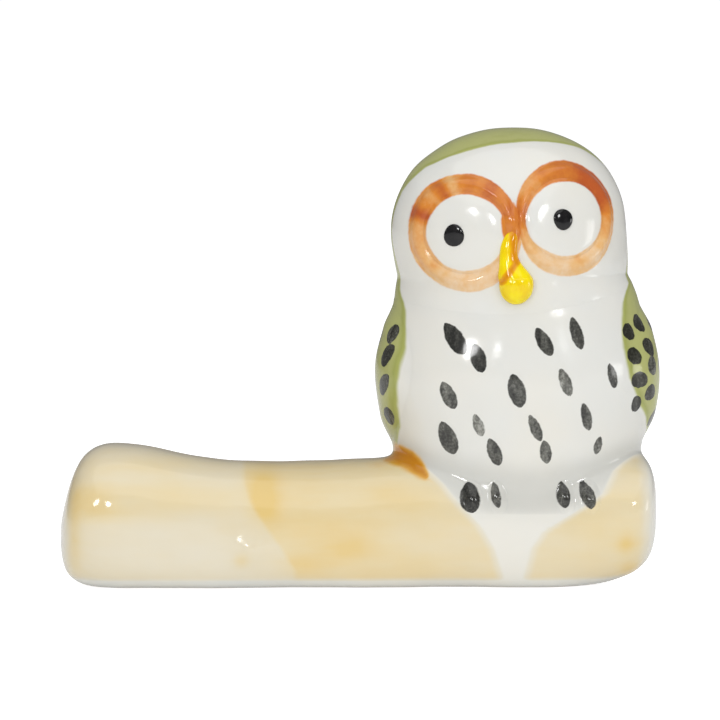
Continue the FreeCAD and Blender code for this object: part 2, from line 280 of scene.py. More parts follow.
def glaze_skin(p):
    """Distance from the body, the head and the log together, with rounded inner corners."""
    upper = soft_min(body_distance(p), head_distance(p), NECK_FILLET)
    return soft_min(upper, log_distance(p), SEAT_FILLET) - hand_waves(p)


def slope(distance, p, reach=0.02):
    """Direction in which a distance grows fastest, by small steps along each axis."""
    steps = np.eye(3) * reach
    return np.stack([distance(p + s) - distance(p - s) for s in steps], -1) / (2 * reach)


def settle(points, distance, walks=4):
    """Newton's walk: step back along the slope by distance over steepness, again and again."""
    p = points.reshape(-1, 3)
    for _ in range(walks):
        uphill = slope(distance, p)
        steep = np.maximum((uphill**2).sum(1), LEAST_STEEP)
        p = p - (distance(p) / steep)[:, None] * uphill
    return p.reshape(points.shape)


def outward(points, distance):
    """Unit direction straight off a skin."""
    uphill = slope(distance, points.reshape(-1, 3))
    return (uphill / np.linalg.norm(uphill, axis=1, keepdims=True)).reshape(points.shape)


def lay_on(points, lift):
    """Settle points on the common skin, then raise each off it by its own lift."""
    flat = settle(points, glaze_skin)
    return flat + outward(flat, glaze_skin) * np.broadcast_to(lift, points.shape[:-1])[..., None]


# %% [markdown]
# ## From rings to a mesh
# Every piece is a stack of closed rings of points.  Neighbouring rings are woven together with
# four-sided faces.  A stack either ends in a point at each end, or joins end to end as a hoop.

# %% Weave rings into a closed mesh
piece_list = []


def weave(name, grid, hoop=False):
    """Four-sided faces between rings, fans to a middle point at both ends unless it is a hoop."""
    rows, turns = grid.shape[:2]
    points = grid.reshape(-1, 3)
    here = np.arange(rows * turns).reshape(rows, turns)
    if hoop:
        here = np.vstack([here, here[:1]])
    there = np.roll(here, -1, axis=1)
    four = np.stack([here[:-1], there[:-1], there[1:], here[1:]], -1).reshape(-1, 4)
    three = np.zeros((0, 3), int)
    if not hoop:
        points = np.vstack([points, grid[0].mean(0), grid[-1].mean(0)])
        start, end = np.full(turns, rows * turns), np.full(turns, rows * turns + 1)
        first = np.stack([start, there[0], here[0]], -1)
        three = np.vstack([first, np.stack([end, here[-1], there[-1]], -1)])
    a, b, c, d = (points[four[:, k]] - points.mean(0) for k in range(4))
    if (np.cross(c - a, d - b) * (a + b + c + d)).sum() < 0:
        four, three = four[:, ::-1], three[:, ::-1]
    corners = np.concatenate([four.ravel(), three.ravel()])
    sizes = np.concatenate([np.full(len(four), 4), np.full(len(three), 3)])
    mesh = bpy.data.meshes.new(name)
    mesh.vertices.add(len(points))
    mesh.vertices.foreach_set("co", (points * MM).ravel())
    mesh.loops.add(len(corners))
    mesh.loops.foreach_set("vertex_index", corners.astype(np.int32))
    mesh.polygons.add(len(sizes))
    mesh.polygons.foreach_set("loop_start", (np.cumsum(sizes) - sizes).astype(np.int32))
    mesh.polygons.foreach_set("use_smooth", np.ones(len(sizes), bool))
    mesh.update(calc_edges=True)
    mesh.validate()
    piece = bpy.data.objects.new(name, mesh)
    bpy.context.scene.collection.objects.link(piece)
    piece_list.append(piece)
    print(name, "has", 2 * len(four) + len(three), "triangles")
    return piece


# %% [markdown]
# The log's rings are its sections.  The lowest part of each is pressed flat on the bench, with a
# soft edge, and the rest is lifted by the same waviness that the owl's skin has.

# %% Make the log


def pressed_flat(z, soft=0.5):
    """The larger of z and 0, with a soft corner of that size."""
    corner = np.maximum(soft - np.abs(z), 0) / soft
    return np.maximum(z, 0) + corner**2 * soft / 4


def log_rings(rows=372, turns=256):
    """Sections of the log, walked along it."""
    pick = np.linspace(0, LOG_LINE.shape[1] - 1, rows + 2)[1:-1].astype(int)
    place, depth, top, under = (line[pick][:, None] for line in LOG_LINE)
    turn = np.linspace(0, 2 * np.pi, turns, endpoint=False)[None, :]
    y = LOG_Y + LOG_HALF_DEPTH * depth * soften(np.sin(turn), LOG_CORNER)
    z = 0.5 * (top + under) - 0.5 * (top - under) * soften(np.cos(turn), LOG_CORNER)
    rings = np.stack(np.broadcast_arrays(log_low[0] + place, y, z), -1)
    lift = hand_waves(rings.reshape(-1, 3)).reshape(rings.shape[:2])
    rings = rings + outward(rings, log_distance) * lift[..., None]
    rings[..., 2] = pressed_flat(rings[..., 2])
    return rings


weave("log_clay", log_rings())

# %% [markdown]
# ## Walk down the owl
# The owl's skin is found by walking.  From the top of the head, one walker sets out in every
# direction and goes down the common skin in its own upright plane: over the brow, in at the
# neck, round the belly and a little way out on the log.  All walkers step together, and every
# row of footprints is a ring.

# %% Walk the skin from crown to seat
FEEL = 0.02  # how far each walker feels about for the slope
LEAST_RISE = 0.2  # the same guard as LEAST_STEEP for the first drop on the crown
FIRST_DROPS, DROPS = 8, 2  # corrections before the first step and at every later one


def walk_down(turn, steps, pace):
    """Step along the skin at right angles to its slope, then drop back on it by Newton's step."""
    radius, height = np.full(len(turn), FEEL), np.full(len(turn), CROWN + HEAD_SPOT[2])
    spots = []
    for step in range(steps):
        for _ in range(FIRST_DROPS if step == 0 else DROPS):
            off = glaze_skin(around_owl(turn, height, radius))
            out = glaze_skin(around_owl(turn, height, radius + FEEL))
            out = (out - glaze_skin(around_owl(turn, height, radius - FEEL))) / (2 * FEEL)
            up = glaze_skin(around_owl(turn, height + FEEL, radius))
            up = (up - glaze_skin(around_owl(turn, height - FEEL, radius))) / (2 * FEEL)
            steep = np.maximum(out**2 + up**2, LEAST_STEEP)
            if step == 0:
                height = height - off / np.where(np.abs(up) > LEAST_RISE, up, LEAST_RISE)
            else:
                radius, height = radius - off * out / steep, height - off * up / steep
        spots.append(around_owl(turn, height, radius))
        length = np.sqrt(steep)
        radius, height = radius + pace * up / length, height - pace * out / length
    return np.stack(spots)


PACE, TURNS, STEPS = 0.12, 400, 470  # a step in millimetres, the walkers and their steps
BROW_STEPS, NECK_STEPS = 90, 20  # no neck before the first, no seat this soon after the neck
turn = np.linspace(-np.pi, np.pi, TURNS, endpoint=False)
walked = walk_down(turn, STEPS, PACE)
flat_walk = walked.reshape(-1, 3)
off_head, off_body, off_log = (
    distance(flat_walk).reshape(walked.shape[:2])
    for distance in (head_distance, body_distance, log_distance)
)
step_number = np.arange(STEPS)[:, None]
neck_step = np.argmax((off_body < off_head) & (step_number > BROW_STEPS), axis=0)
below_neck = step_number > neck_step + NECK_STEPS
seat_step = np.argmax(below_neck & (off_body - off_log > SEAT_FILLET), axis=0)
print("neck after", neck_step.min() * PACE, "to", neck_step.max() * PACE, "mm of walking")
print("seat after", seat_step.min() * PACE, "to", seat_step.max() * PACE, "mm")

# %% [markdown]
# The walk is cut at the neck into the head's clay and the body's clay.  Each goes on a little
# past the cut while it sinks under the other, so that no gap opens and the join can't be seen.
# The body's skirt sinks into the log in the same way.

# %% Make the head and the body
OVERLAP = 7  # steps past a cut
CROWN_STEP, SEAT_LEAD = 3, 3  # steps to the first ring, and before the seat where sinking starts
SINK = 0.05  # millimetres below the other clay at the end of an overlap
NECK_CLOSE, SEAT_CLOSE = 0.6, 0.5  # how much deeper the hidden closing rings lie


def footprints(first, last, rows):
    """Rings between two steps of the walk, settled again, and the step that each stands at."""
    at = first + (last - first) * np.linspace(0, 1, rows)[:, None]
    low, column = np.floor(at).astype(int), np.arange(TURNS)
    part = (at - low)[..., None]
    rings = walked[low, column] * (1 - part) + walked[low + 1, column] * part
    return settle(rings, glaze_skin, 2), at


def sink(rings, depth):
    """Push rings below the skin by a depth for every point."""
    return rings - outward(rings, glaze_skin) * np.broadcast_to(depth, rings.shape[:2])[..., None]


rings, at = footprints(np.full(TURNS, CROWN_STEP), neck_step + OVERLAP, 170)
rings = sink(rings, SINK * fade(at, neck_step - OVERLAP, neck_step + OVERLAP))
weave("head_clay", np.concatenate([rings, sink(rings[-1:], NECK_CLOSE)]))

rings, at = footprints(neck_step - OVERLAP, seat_step + 2 * OVERLAP, 195)
depth = SINK * (1 - fade(at, neck_step - OVERLAP, neck_step + OVERLAP))
depth = depth + SINK * fade(at, seat_step - SEAT_LEAD, seat_step + 2 * OVERLAP)
rings = sink(rings, depth)
rings = np.concatenate([sink(rings[:1], NECK_CLOSE), rings, sink(rings[-1:], SEAT_CLOSE)])
weave("body_clay", rings)

# %% [markdown]
# ## Sprigs
# Potters call a small shape pressed on a larger one a sprig.  Wings, eyes, toes and the bridge
# are sprigs: a round sheet that follows the skin, raised by a soft profile, and closed by a
# second sheet inside the clay.

# %% The sprig tool


HIDDEN_EVERY = 6  # the hidden sheet needs only every sixth ring


def sprig(name, spot, outline, lift, rows=48, turns=120, depth=0.45):
    """Rings from a middle out to an outline (u, v) on the skin, raised by lift(share, u, v)."""
    share = np.linspace(0, 1, rows + 1)[1:, None]
    angle = np.linspace(0, 2 * np.pi, turns, endpoint=False)[None, :]
    u, v = (share * side for side in outline(angle))
    base = settle(spot(u, v), glaze_skin)
    off = outward(base, glaze_skin)
    top = base + off * lift(share, u, v)[..., None]
    under = (base - off * depth * (1 - share[..., None] ** 6))[::-HIDDEN_EVERY]
    return weave(name, np.concatenate([top, under]))


def oval(half_u, half_v, wobble=0.0, phase=0.0):
    """Outline of an oval whose edge wanders by a share of its size."""

    def outline(angle):
        wander = 1 + wobble * (np.sin(2 * angle + phase) + 0.6 * np.sin(3 * angle + 2 * phase))
        return half_u * wander * np.sin(angle), half_v * wander * np.cos(angle)

    return outline


# %% [markdown]
# ## Wings
# Each wing is a leaf that lies flat against the side: round at the shoulder and drawn to a tip
# above the log.  It stands proud by half a millimetre with a soft, glaze-filled edge.

# %% Make the wings
WING_PROUD, WING_MIDDLE = 0.52, 20.3
SHOULDER, WING_TIP = 6.4, 7.5  # reach above and below the middle
WING_TURN, WING_SPREAD = math.radians(92), math.radians(36)  # from the face, and half its width
WING_EDGE, WING_TUCK = 0.42, 0.02  # share of the leaf that slopes, and how deep its rim is tucked


def wing_outline(angle):
    """Leaf: sine across and cosine up, with the lower half's width drawn in to a tip."""
    across, up = np.sin(angle), np.cos(angle)
    drawn_in = np.where(up < 0, np.abs(across) ** 0.45, 1)
    return WING_SPREAD * across * drawn_in, np.where(up > 0, SHOULDER, WING_TIP) * up


def make_wing(name, side):
    """Lay the leaf round the body's side and raise all but its edge."""

    def spot(u, v):
        turn, height = side * (WING_TURN + u), WING_MIDDLE + v
        return around_owl(turn, height, egg_radius(turn, height))

    def lift(share, u, v):
        return (WING_PROUD + WING_TUCK) * fade(1 - share, 0, WING_EDGE) - WING_TUCK + 0 * u

    return sprig(name, spot, wing_outline, lift, rows=90, turns=300)


make_wing("wing_inner_leaf", -1)
make_wing("wing_outer_leaf", 1)

# %% [markdown]
# ## Eyes
# Round each eye runs a raised hoop of clay.  Its section is a low bell, carried round an oval on
# the face.  The white inside it is nearly level, lowest in its middle and tucked under the hoop
# at its edge, and the pupil is a drop of thick glaze on it.

# %% Make the hoops, domes and pupils
EYES = {-1: (-5.0, 0.58), 1: (4.3, 0.66)}  # side: middle of the eye on the face
HOOP_HALF = {-1: (4.22, 4.5), 1: (4.3, 4.4)}
HOOP_PROUD, HOOP_TUCK, HOOP_DEPTH = 0.34, 0.006, 0.35
HOOP_SIDE, HOOP_MORE = 0.70, 0.22  # half-width of the band at the sides, more at top and foot
DOME_HALF, DOME_PROUD, DOME_TUCK = 3.9, 0.2, 0.004
DOME_SWELL, DOME_DISH = 0.15, 0.1  # raised near the hoop, lowered in the middle
PUPIL_EDGE, PUPIL_TOP = 0.17, 0.15


def make_hoop(name, side, bite):
    """Carry a bell (1 - s^2)^2 round an oval, as a band that is slimmer at the sides."""
    around = np.linspace(0, 2 * np.pi, 300, endpoint=False)[:, None]
    about = np.linspace(0, 2 * np.pi, 40, endpoint=False)[None, :]
    towards_beak = np.maximum(-side * np.sin(around), 0) ** 4
    band = HOOP_SIDE + HOOP_MORE * np.cos(around) ** 2 - bite * towards_beak
    band = band * (1 + 0.05 * np.sin(3 * around + side) + 0.03 * np.sin(7 * around))
    across = np.cos(about)
    bell = HOOP_PROUD * (1 - 0.35 * bite * towards_beak) * (1 - across**2) ** 2
    lift = np.where(np.sin(about) >= 0, bell, -HOOP_DEPTH * np.abs(np.sin(about))) - HOOP_TUCK
    x = EYES[side][0] + (HOOP_HALF[side][0] + band * across) * np.sin(around)
    z = EYES[side][1] + (HOOP_HALF[side][1] + band * across) * np.cos(around)
    return weave(name, lay_on(on_face(x, z), lift), hoop=True)


def face_spot(x, z):
    """Chart for sprigs: millimetres across and up from a point of the face."""
    return lambda u, v: on_face(x + u, z + v)


def make_dome(name, side):
    """The white: nearly level, dished in its middle, with its edge hidden under the hoop."""

    def lift(share, u, v):
        edge = 1 - share**6
        dish = DOME_SWELL * share**2 * edge - DOME_DISH * (1 - share**2)
        return DOME_PROUD * edge - DOME_TUCK + dish + 0 * u

    return sprig(
        name, face_spot(*EYES[side]), oval(DOME_HALF, DOME_HALF), lift, rows=60, turns=200,
    )


def make_pupil(name, x, z, size, phase):
    """A drop: steep at its rim, flat on top, not quite round."""

    def lift(share, u, v):
        return PUPIL_EDGE + PUPIL_TOP * np.sqrt(np.maximum(1 - share**2.4, 0)) + 0 * u

    edge = oval(size[0], size[1], 0.035, phase)
    return sprig(name, face_spot(x, z), edge, lift, rows=30, turns=96, depth=0.3)


make_hoop("eye_hoop_inner", -1, 0.05)
make_hoop("eye_hoop_outer", 1, 0.3)
make_dome("eye_dome_inner", -1)
make_dome("eye_dome_outer", 1)
make_pupil("pupil_drop_inner", -6.1, 0.47, (0.88, 1.0), 0.7)
make_pupil("pupil_drop_outer", 3.93, 0.62, (0.92, 0.94), 2.0)

# %% [markdown]
# ## Bridge and beak
# A small saddle of clay joins the hoops.  The beak hangs below it: a narrow ridge that swells to
# a drop.  Its rings are half ovals that stand on the face, with widths and heights read from a
# short table, and the strip tool draws the lines between them.

# %% Make the bridge and the beak
BRIDGE_SPOT, BRIDGE_HALF, BRIDGE_PROUD = (-0.82, 1.1), (0.95, 2.3), 0.36


def bridge_lift(share, u, v):
    """Bell across the saddle, with its ends run out into the hoops."""
    return BRIDGE_PROUD * (1 - share**2) ** 1.8 - HOOP_TUCK + 0 * u


sprig("brow_saddle", face_spot(*BRIDGE_SPOT), oval(*BRIDGE_HALF, 0.03), bridge_lift)

BEAK_TOP, BEAK_LENGTH, BEAK_HALF, BEAK_PROUD = (-0.95, 0.2), 6.8, 1.55, 1.4
BEAK_STEPS = np.array([  # way down, share of width, share of height
    (0.0, 0.01, 0.20), (0.02, 0.24, 0.26), (0.10, 0.44, 0.36), (0.25, 0.52, 0.46),
    (0.40, 0.60, 0.60), (0.52, 0.80, 0.80), (0.64, 0.98, 0.97), (0.76, 1.0, 1.0),
    (0.88, 0.84, 0.84), (0.96, 0.52, 0.52), (0.995, 0.20, 0.22), (1.0, 0.01, 0.12),
])


def beak_rings(rows=150, turns=96):
    """Half ovals down the face: sine across, cosine to a low power outwards, closed behind."""
    line = bend_table(BEAK_STEPS, (BEAK_LENGTH, BEAK_HALF, BEAK_PROUD), rows)
    down, wide, tall = (column[:, None] for column in line)
    about = np.linspace(0, 2 * np.pi, turns, endpoint=False)[None, :]
    across = BEAK_HALF * wide * np.sin(about)
    front = np.maximum(np.cos(about), 0) ** 0.85
    lift = BEAK_PROUD * tall * front - 0.5 * wide * np.maximum(-np.cos(about), 0)
    lean = -0.5 * np.sin(np.pi * np.minimum(down * 1.5, 1)) - 0.25 * down
    x = BEAK_TOP[0] + lean + across
    return lay_on(on_face(x, BEAK_TOP[1] - BEAK_LENGTH * down + 0 * across), lift)


weave("beak_drop", beak_rings())

# %% [markdown]
# ## Feet
# Two toes of each foot show at the front edge of the log, under the belly.  A foot is one low
# sprig with two soft swellings in it.

# %% Make the feet
TOE_HEIGHT, TOE_APART, TOE_HALF = 8.6, 1.17, (0.98, 1.75)
TOE_PROUD, PAD_PROUD, FOOT_TUCK, FOOT_HALF = 0.36, 0.05, 0.015, (2.6, 2.3)
FAR_FRONT = -13.0  # a place in front of everything


def seat_front(x, height):
    """Come from far in front and step along +Y by the distance to the skin until it is met."""
    p = np.stack(np.broadcast_arrays(x, FAR_FRONT, height), -1).reshape(-1, 3)
    for _ in range(60):
        p[:, 1] += 0.7 * np.clip(glaze_skin(p), -0.5, 1.5)
    return p.reshape(*np.broadcast_shapes(np.shape(x), np.shape(height)), 3)


def make_foot(name, x, lean):
    """A faint pad with two toes: bells beside each other, each longer than it is wide."""

    def lift(share, u, v):
        toes = 0
        for side in (-1, 1):
            off = (u - lean * v - TOE_APART * side) / TOE_HALF[0]
            up = (v - 0.15) / TOE_HALF[1]
            toes = toes + np.maximum(1 - off**2 - up**2, 0) ** 1.8
        return TOE_PROUD * toes + PAD_PROUD * (1 - share**2) ** 2 - FOOT_TUCK

    return sprig(
        name, lambda u, v: seat_front(BODY_X + x + u, TOE_HEIGHT + v),
        oval(*FOOT_HALF), lift, rows=70, turns=180,
    )


make_foot("toes_inner", -3.55, -0.12)
make_foot("toes_outer", 5.1, -0.05)

# %% [markdown]
# ## Painting under the glaze
# The decorator paints on the biscuit before the clear glaze goes on: a cream and ochre wash on
# the log, green on the wings and the back, rust round the eyes, and dark strokes for feathers.
# Each colour is a field: a number at every point that says how much of that paint is there.  A
# field depends only on the place, so a stroke runs on from one piece to the next without a step.
#
# Feather strokes come first.  A decorator sees the breast from the front, so its marks are set out
# by how far each lies across from the owl's middle line and how high, with a length and a lean.
# The wings go round the side, so their marks are set out by the turn from the face instead.

# %% Where the feather strokes lie
BREAST_MARKS = [  # millimetres across, height, length, lean in degrees, half-width, grey
    (-6.25, 23.50, 3.25, 30, 0.80, 0.10), (-4.25, 21.75, 2.75, 15, 0.70, 0.20),
    (1.75, 23.25, 3.00, 30, 0.65, 0.30), (4.75, 24.00, 3.25, 20, 0.60, 0.35),
    (8.25, 20.00, 2.50, 15, 0.50, 0.35), (-7.00, 18.25, 2.75, 25, 0.70, 0.50),
    (-0.75, 18.75, 3.25, 15, 0.80, 0.35), (3.75, 19.50, 2.75, 20, 0.55, 0.60),
    (5.75, 16.25, 2.75, 15, 0.50, 0.45), (-4.25, 15.50, 2.25, 20, 0.50, 0.80),
    (1.00, 15.25, 2.75, 25, 0.50, 0.50), (-7.00, 14.25, 3.25, 20, 0.90, 0.35),
    (-2.75, 13.00, 2.75, 20, 0.65, 0.40), (2.00, 13.00, 2.25, 10, 0.55, 0.50),
    (7.00, 13.50, 1.75, -10, 0.45, 0.50),
]
TOE_DEPTH = 9.4  # from the body's axis to the toes
TOE_MARKS = [
    (-5.50, 8.75, 3.00, 20, 0.85, 0.20), (-2.75, 9.00, 2.50, 15, 0.45, 0.40),
    (4.00, 9.00, 2.50, 5, 0.55, 0.30), (6.50, 9.00, 2.75, 5, 0.50, 0.35),
]
WING_MARKS = [  # turn from the face, height, length, turn from end to end, half-width, grey
    (-73, 23.75, 1.25, -6, 0.85, 0.30), (-73, 21.75, 1.75, -8, 0.85, 0.20),
    (-74, 19.00, 1.75, -9, 0.80, 0.25), (-76, 16.00, 1.25, -7, 0.75, 0.35),
    (60, 24.00, 1.50, -2, 0.85, 0.00), (70, 24.75, 1.50, -3, 0.90, 0.10),
    (60, 21.75, 1.50, -2, 0.90, 0.05), (71, 22.50, 1.50, -3, 0.95, 0.15),
    (62, 19.50, 1.50, 0, 1.00, 0.15), (71, 20.75, 1.75, -2, 0.90, 0.55),
    (70, 18.25, 1.50, 1, 0.85, 0.30), (62, 17.25, 1.50, 1, 0.70, 0.25),
]


def belly_depth(across, height):
    """From |across/half|^n + |depth/half|^n = share^n, how far in front of the axis the egg is."""
    share = np.interp(height, EGG_LINE[0], EGG_LINE[1]) ** EGG_CORNER
    left = np.maximum(share - np.abs(across / BODY_HALF[0]) ** EGG_CORNER, 0.01)
    return BODY_HALF[1] * left ** (1 / EGG_CORNER)


def seen_from_front(marks, depth=None):
    """Both ends of each leaning mark as turns and heights: the turn's tangent is across / depth."""
    strokes = []
    for across, height, length, lean, half, grey in marks:
        ends = []
        for end in (-0.5, 0.5):
            x = across + end * length * math.sin(math.radians(lean))
            z = height - end * length * math.cos(math.radians(lean))
            ends += [math.degrees(math.atan2(x, depth or belly_depth(x, z))), z]
        strokes.append((*ends, half, grey))
    return strokes


def seen_from_side(marks):
    """Both ends of each mark that is given by its turn."""
    return [
        (turn - swing / 2, height + length / 2, turn + swing / 2, height - length / 2, half, grey)
        for turn, height, length, swing, half, grey in marks
    ]


BREAST_STROKES = seen_from_front(BREAST_MARKS)
TOE_STROKES = seen_from_front(TOE_MARKS, TOE_DEPTH)
WING_STROKES = seen_from_side(WING_MARKS)
print(len(BREAST_STROKES) + len(TOE_STROKES) + len(WING_STROKES), "strokes seen from the front")

# %% [markdown]
# The far sides of the wings and the back carry the same kind of marks.  Their rows are set out
# evenly and then shifted a little, as a hand would, by a seeded random generator.

# %% Strokes on the back
hand = np.random.default_rng(7)


def scattered_rows(heights, low, high, spacing, long, half, jitter=1.0):
    """Rows of short strokes between two turns, every second row moved half a space along."""
    marks = []
    for row, height in enumerate(heights):
        for turn_at in np.arange(low + spacing * (row % 2) / 2, high, spacing):
            turn_at = turn_at + hand.normal(0, 1.6) * jitter
            top = height + hand.normal(0, 0.22) * jitter
            tilt = hand.normal(0, 2.0)
            marks.append((
                turn_at - tilt, top, turn_at + tilt, top - long * hand.uniform(0.85, 1.15),
                half * hand.uniform(0.85, 1.1), hand.uniform(0.1, 0.5),
            ))
    return marks


BACK_STROKES = scattered_rows((25.0, 22.9, 20.8, 18.7, 16.6), 84, 128, 11.5, 1.4, 0.8)
BACK_STROKES += scattered_rows((24.3, 22.2, 20.1, 18.0), -126, -86, 12.0, 1.4, 0.8)
BACK_STROKES += scattered_rows((25.2, 21.6, 18.2, 15.2), 146, 216, 15.5, 2.2, 0.62)
print(len(BACK_STROKES), "strokes on the far sides and the back")

# %% Fields of the strokes
STROKE_SOFT = 0.8  # millimetres over which a stroke's field runs from 0 to 1


def stroke_field(p, strokes):
    """How deep inside a leaf-shaped stroke a point lies, 0.5 on its edge, and the stroke's grey."""
    turn = np.arctan2(p[:, 0] - BODY_X, BODY_Y - p[:, 1])
    away = np.hypot(p[:, 0] - BODY_X, p[:, 1] - BODY_Y)
    cover, grey = np.zeros(len(p)), np.zeros(len(p))
    for turn_a, high_a, turn_b, high_b, half, shade in strokes:
        start, bend = math.radians(turn_a), math.radians(turn_b - turn_a)
        u = ((turn - start + np.pi) % (2 * np.pi) - np.pi) * away
        v = p[:, 2] - high_a
        line_u, line_v = bend * away, high_b - high_a
        length = np.hypot(line_u, line_v)
        along = (u * line_u + v * line_v) / length**2
        aside = np.abs(u * line_v - v * line_u) / length
        q = 2 * along - 1
        slim = np.clip(0.16 * length / half, 0.42, 0.66)
        leaf = half * np.maximum(1 - q**2, 0) ** slim * (1 + 0.12 * q)
        leaf = leaf - np.maximum(np.abs(q) - 1, 0) * length / 2
        inside = np.clip(0.5 + (leaf - aside) / STROKE_SOFT, 0, 1)
        grey = np.where(inside > cover, shade, grey)
        cover = np.maximum(cover, inside)
    return cover, grey


# %% [markdown]
# The green covers the crown, the nape, the back and the wings.  On the head its edge lies at a
# depth that changes with the height and slants a little; on the body it is a turn from the face
# that changes with the height.

# %% Field of the green
HEAD_HEIGHTS = [-8.0, -6.0, -4.0, -1.0, 2.0, 5.0, 7.0, 8.0, 8.35, 9.65]  # in the head's own room
HEAD_GREEN = [-3.4, -3.1, -1.7, -1.2, -0.8, -1.4, -3.0, -4.9, -5.5, -7.0]  # depth of the edge
HEAD_SLANT, DEGREE_WIDE, GREEN_SOFT = 0.3, 0.21, 2.4  # millimetres: slant, a degree, the fade
GREEN_HEIGHTS = [11.0, 12.6, 15.0, 17.3, 19.7, 22.5, 24.0, 26.0, 29.0]
GREEN_LEFT = [100, 80, 70, 67, 64, 63, 65, 68, 76]  # turn of the edge at those heights
GREEN_RIGHT = [118, 98, 78, 64, 56, 54, 55, 58, 64]


def green_field(p):
    """Millimetres behind the edge of the green, turned into 0.5 on the edge and 1 well inside."""
    q = to_head(p)
    edge = np.interp(q[:, 2], HEAD_HEIGHTS, HEAD_GREEN) - HEAD_SLANT * q[:, 0] / HEAD_HALF[0]
    on_head = q[:, 1] - edge
    turn = np.degrees(np.arctan2(p[:, 0] - BODY_X, BODY_Y - p[:, 1]))
    left = np.interp(p[:, 2], GREEN_HEIGHTS, GREEN_LEFT)
    right = np.interp(p[:, 2], GREEN_HEIGHTS, GREEN_RIGHT)
    on_body = (np.abs(turn) - np.where(turn < 0, left, right)) * DEGREE_WIDE
    by_head = fade(body_distance(p) - head_distance(p), -0.8, 0.8)
    deep = by_head * on_head + (1 - by_head) * on_body
    on_log = fade(body_distance(p) - log_distance(p), -0.7, 0.5) * (p[:, 2] < 20)
    return np.clip(0.5 + deep / GREEN_SOFT, 0, 1) * (1 - on_log)


# %% [markdown]
# The wash on the log is strongest in a few broad strokes.  It leaves a white funnel under the
# belly, a bare strip along the foot, and stops at a slanting edge near the knot.

# %% Fields of the wash and of the dark dab
WASH_SPOTS = [  # x, height, half-size along, half-size up, strength
    (-25.6, 8.6, 2.2, 1.6, 0.22), (-21.0, 9.2, 6.0, 1.0, 0.16), (-23.5, 7.4, 3.2, 1.0, 0.16),
    (-26.9, 5.6, 0.7, 4.5, 0.22), (-15.0, 8.3, 4.5, 1.1, 0.12), (-9.2, 8.2, 1.7, 1.8, 0.30),
    (-9.4, 10.2, 1.6, 1.2, 0.20), (-1.3, 4.3, 2.6, 1.8, 0.20), (-4.5, 5.6, 3.0, 1.6, 0.10),
    (3.0, 8.6, 2.8, 1.2, 0.12), (-5.5, 2.6, 2.8, 1.0, 0.14), (24.4, 4.4, 0.9, 1.1, 0.28),
    (24.9, 1.9, 1.1, 0.8, 0.28), (21.5, 6.5, 2.2, 2.6, 0.10), (-11.4, 2.9, 0.8, 0.7, 0.26),
    (-16.0, 3.4, 6.5, 2.4, -0.14), (5.5, 2.4, 2.8, 1.0, 0.10), (-20.0, 11.6, 7.0, 0.7, 0.14),
]
WASH_EDGE = [(1.9, -6.5), (4.1, -7.8), (6.3, -9.4), (8.2, -10.6), (10.1, -11.2)]  # height, x
FUNNEL_LEFT = [(1, 12.6), (4, 11.6), (6, 10.4), (8, 8.5), (10, 6.9), (12.3, 4.4)]
FUNNEL_RIGHT = [(1, 15.3), (4, 16), (5.5, 17), (7, 19.5), (9, 22.6), (11, 23.7), (12.5, 25.4)]
DAB_START, DAB_LENGTH, DAB_HALF = (2.7, 12.5), 3.9, 0.85
DAB_RUN = (0.82, 0.57)  # how the dab runs: along x and down


def read_line(at, line):
    """Straight between the points of a short list of (place, value)."""
    places, values = zip(*line)
    return np.interp(at, places, values)


def wash_field(p):
    """Sum of soft ovals on an even cream, less the funnel, the bare strip and the owl above."""
    x, y, z = p.T
    edge = read_line(z, WASH_EDGE)
    past = fade(x, edge - 0.25, edge + 0.45)
    amount = 0.42 + 0.20 * past * (1 - 0.4 * fade(x, -2, 9)) + 0.03 * fade(z, 3, 10)
    for spot_x, spot_z, along, up, strength in WASH_SPOTS:
        away = ((x - spot_x) / along) ** 2 + ((z - spot_z) / up) ** 2
        amount = amount + strength * np.exp(-away)
    left, right = read_line(z, FUNNEL_LEFT), read_line(z, FUNNEL_RIGHT)
    funnel = fade(x, left - 0.5, left + 0.9) * (1 - fade(x, right - 0.9, right + 0.5))
    amount = amount * (1 - 0.93 * funnel * (1 - fade(y, -4.5, -1.5)))
    left_end = fade(-x, 26.6, 28.1) * (1 - fade(np.hypot(z - 4.5, y), 3, 8.5))
    amount = amount * fade(z, 0.65, 1.3) * (1 - 0.7 * left_end)
    amount = amount * (1 - 0.8 * fade(x, 25.4, 27.0))
    on_log = fade(body_distance(p) - log_distance(p), -0.5, 0.7)
    return np.clip(amount, 0, 1) * on_log


def dab_field(p):
    """One teardrop of brown along the crease left of the belly: crisp on the belly's side only."""
    x, y, z = p.T
    right, down = x - DAB_START[0], DAB_START[1] - z
    along = (right * DAB_RUN[0] + down * DAB_RUN[1]) / DAB_LENGTH
    bow = 0.45 * np.sin(np.pi * np.clip(along, 0, 1))
    aside = right * DAB_RUN[1] - down * DAB_RUN[0] - bow
    half = DAB_HALF * np.sqrt(np.maximum(1 - np.clip(along, 0, 1) ** 2, 0)) - np.maximum(along - 1, 0)
    off = aside - 0.15
    drop = fade(half - np.where(off < 0, -0.75 * off, off), -0.5, 0.55) * fade(along, -0.75, 0.1)
    drop = np.maximum(drop, 0.35 * np.exp(-(((x - 1.6) / 1.8) ** 2) - ((z - 11.6) / 0.7) ** 2))
    return drop * (1 - fade(y, -3.0, 2.0))


# %% [markdown]
# Rust goes round the eyes over the raised hoops, thick on top and thin below, with darker places
# where two brush loads overlap.  The field is measured in the head's own room, so it follows the
# cocked head.

